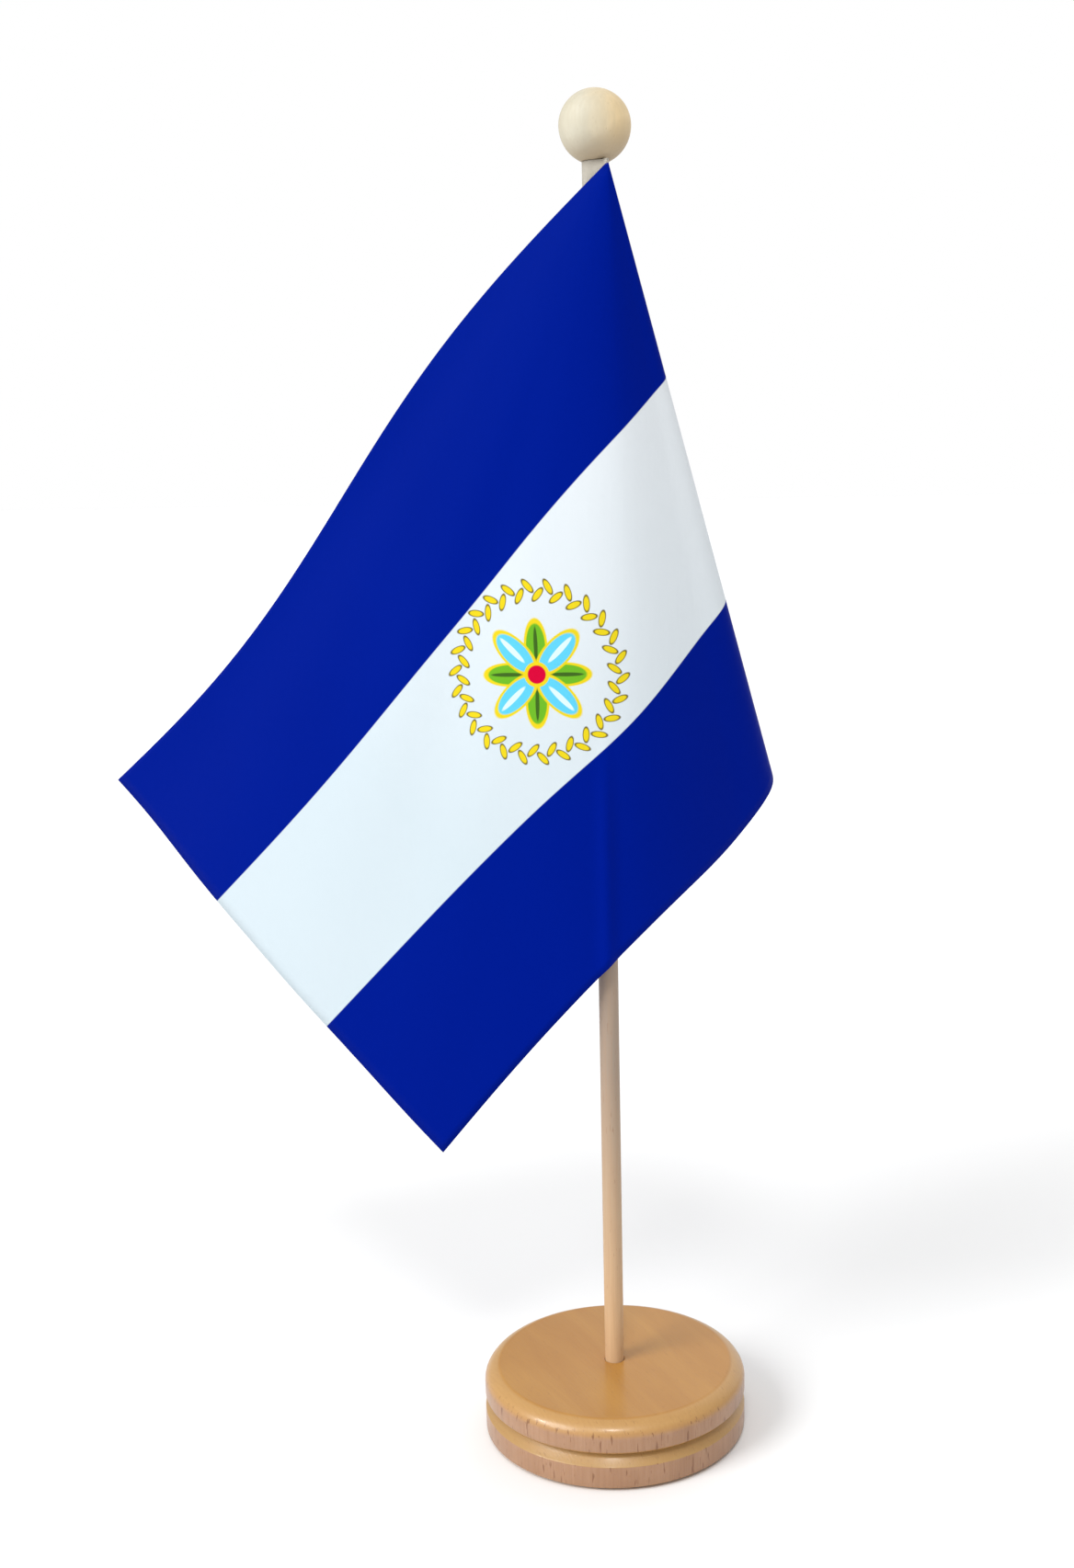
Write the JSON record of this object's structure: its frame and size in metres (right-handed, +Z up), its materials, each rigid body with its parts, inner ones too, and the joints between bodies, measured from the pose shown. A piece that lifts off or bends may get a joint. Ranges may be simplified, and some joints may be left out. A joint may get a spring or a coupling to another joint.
{
  "type": "desk flag stand",
  "caption": "Small cloth flag on a wooden pole with a ball finial, plugged into a round turned wooden base for a desk or table.",
  "frame": {"origin": "on the desk, under the pole's axis", "axes": "+Z up along the pole, -Y towards the viewer, the flag hangs towards -X"},
  "size_m": [0.1802, 0.0751, 0.3463],
  "materials": {
    "felt": "matt pressed felt",
    "base_beech": "turned beech under a thin satin lacquer",
    "dowel_beech": "smooth unvarnished beech dowel",
    "clear_rubber": "clear silicone, semi-gloss",
    "sleeve_cloth": "off-white woven polyester",
    "printed_cloth": "smooth satin polyester printed blue, white and blue with a gold motif",
    "ball_wood": "smooth unvarnished pale wood"
  },
  "bodies": {
    "base": {"base_felt": "felt", "base_disc": "base_beech"},
    "pole": {"pole": "dowel_beech"},
    "ball": {"ball_finial": "ball_wood"},
    "ring": {"stop_ring": "clear_rubber"},
    "flag": {"hoist_sleeve": "sleeve_cloth", "flag_cloth": "printed_cloth"}
  },
  "joints": [
    {"name": "pole_pull", "type": "slide", "parent": "base", "child": "pole", "axis": [0, 0, 1], "range_m": [0, 0.014]},
    {"name": "ball_pull", "type": "slide", "parent": "pole", "child": "ball", "axis": [0, 0, 1], "range_m": [0, 0.01]},
    {"name": "ring_slide", "type": "slide", "parent": "pole", "child": "ring", "axis": [0, 0, 1], "range_m": [-0.06, 0]},
    {"name": "flag_swivel", "type": "hinge", "parent": "ring", "child": "flag", "pos_m": [0, 0, 0.187], "axis": [0, 0, 1], "continuous": true}
  ]
}
